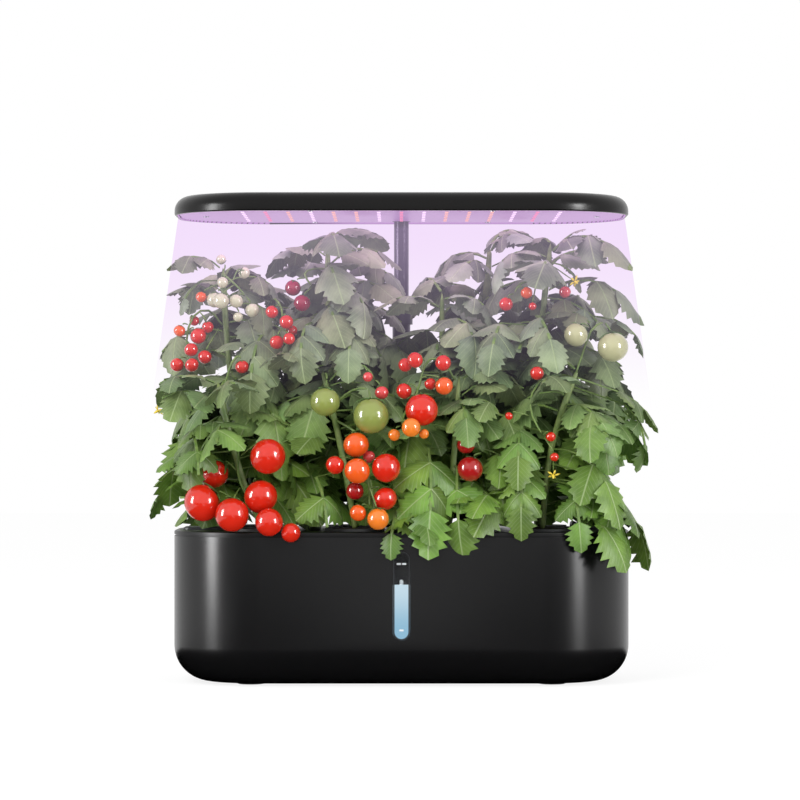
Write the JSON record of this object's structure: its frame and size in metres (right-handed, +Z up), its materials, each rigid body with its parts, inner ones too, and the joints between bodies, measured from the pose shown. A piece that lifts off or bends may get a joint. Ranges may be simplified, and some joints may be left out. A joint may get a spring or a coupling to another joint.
{
  "type": "countertop hydroponic garden",
  "caption": "Indoor tomato garden: a water tank with a planted deck, and a lamp hood on a telescopic pole.",
  "frame": {"origin": "on the table below the middle of the tank", "axes": "+X to the right seen from the front, along the tank's length; +Y from the front to the back; +Z up"},
  "size_m": [0.4345, 0.2547, 0.4057],
  "materials": {
    "body_black": "gloss",
    "deck_black": "satin",
    "hood_black": "gloss",
    "inner_black": "matt",
    "basket_black": "matt",
    "trim_grey": "satin",
    "clear": "clear",
    "mark_white": "matt",
    "water": "clear",
    "float_white": "matt",
    "rubber_black": "matt",
    "foam_dark": "matt",
    "sponge_brown": "matt",
    "steel": "brushed",
    "ceramic_white": "satin",
    "magnet_grey": "matt",
    "pipe_clear": "satin",
    "button_grey": "satin",
    "pilot_green": "clear",
    "board_green": "satin",
    "board_white": "satin",
    "switch_black": "matt",
    "pole_black": "satin",
    "lamp_white": "satin",
    "lamp_red": "satin",
    "lamp_warm": "satin",
    "stem_green": "matt",
    "leaf_green": "satin",
    "fruit_red": "gloss",
    "fruit_green": "gloss",
    "calyx_green": "matt",
    "flower_yellow": "matt"
  },
  "bodies": {
    "tank": {"tank_shell": "body_black", "rubber_feet": "rubber_black", "window_bezel": "trim_grey", "window_lens": "clear", "level_marks": "mark_white", "gauge_channel": "inner_black", "gauge_water": "water", "suction_cups": "rubber_black", "pump_body": "inner_black", "pump_cover": "inner_black", "filter_sponge": "foam_dark", "impeller_shaft": "ceramic_white", "riser_pipe": "pipe_clear"},
    "float": {"level_float": "float_white"},
    "impeller": {"impeller": "magnet_grey"},
    "deck": {"grow_deck": "deck_black", "net_basket_01": "basket_black", "net_basket_02": "basket_black", "net_basket_03": "basket_black", "net_basket_04": "basket_black", "net_basket_05": "basket_black", "net_basket_06": "basket_black", "net_basket_07": "basket_black", "net_basket_08": "basket_black", "net_basket_09": "basket_black", "net_basket_10": "basket_black", "net_basket_11": "basket_black", "net_basket_12": "basket_black", "sponges": "sponge_brown", "flap_pin": "steel", "control_panel": "trim_grey", "pilot_lamps": "pilot_green", "control_board": "board_green", "tact_switches": "switch_black", "inlet_housing": "deck_black", "power_jack": "switch_black", "pole_socket": "deck_black", "socket_screws": "steel", "pole_outer_tube": "pole_black", "lower_collar": "trim_grey", "plant_stems": "stem_green", "plant_leaves": "leaf_green", "fruit_trusses": "stem_green", "ripe_tomatoes": "fruit_red", "green_tomatoes": "fruit_green", "calyxes": "calyx_green", "flowers": "flower_yellow"},
    "flap": {"fill_flap": "deck_black"},
    "light_button": {"light_button": "button_grey"},
    "pump_button": {"pump_button": "button_grey"},
    "middle_pole": {"pole_middle_tube": "pole_black", "upper_collar": "trim_grey"},
    "hood": {"pole_inner_tube": "pole_black", "pole_head": "inner_black", "hood_cover": "hood_black", "lamp_board": "board_white", "lamps_white": "lamp_white", "lamps_red": "lamp_red", "lamps_warm": "lamp_warm", "hood_screws": "steel"}
  },
  "joints": [
    {"name": "deck_lift", "type": "slide", "parent": "tank", "child": "deck", "axis": [0, 0, 1], "range_m": [0, 0.12]},
    {"name": "lower_pole_slide", "type": "slide", "parent": "deck", "child": "middle_pole", "axis": [0, 0, 1], "range_m": [0, 0.07]},
    {"name": "upper_pole_slide", "type": "slide", "parent": "middle_pole", "child": "hood", "axis": [0, 0, 1], "range_m": [0, 0.07]},
    {"name": "flap_hinge", "type": "hinge", "parent": "deck", "child": "flap", "pos_m": [0.1455, 0, 0.131], "axis": [0, -1, 0], "range_deg": [0, 100]},
    {"name": "light_button_press", "type": "slide", "parent": "deck", "child": "light_button", "axis": [0, 0, -1], "range_m": [0, 0.0008], "stiffness_N_per_m": 300, "springref_m": -0.0004},
    {"name": "pump_button_press", "type": "slide", "parent": "deck", "child": "pump_button", "axis": [0, 0, -1], "range_m": [0, 0.0008], "stiffness_N_per_m": 300, "springref_m": -0.0004},
    {"name": "float_travel", "type": "slide", "parent": "tank", "child": "float", "axis": [0, 0, 1], "range_m": [-0.022, 0.024]},
    {"name": "impeller_spin", "type": "hinge", "parent": "tank", "child": "impeller", "pos_m": [0.084, 0, 0.023], "axis": [1, 0, 0], "continuous": true}
  ]
}
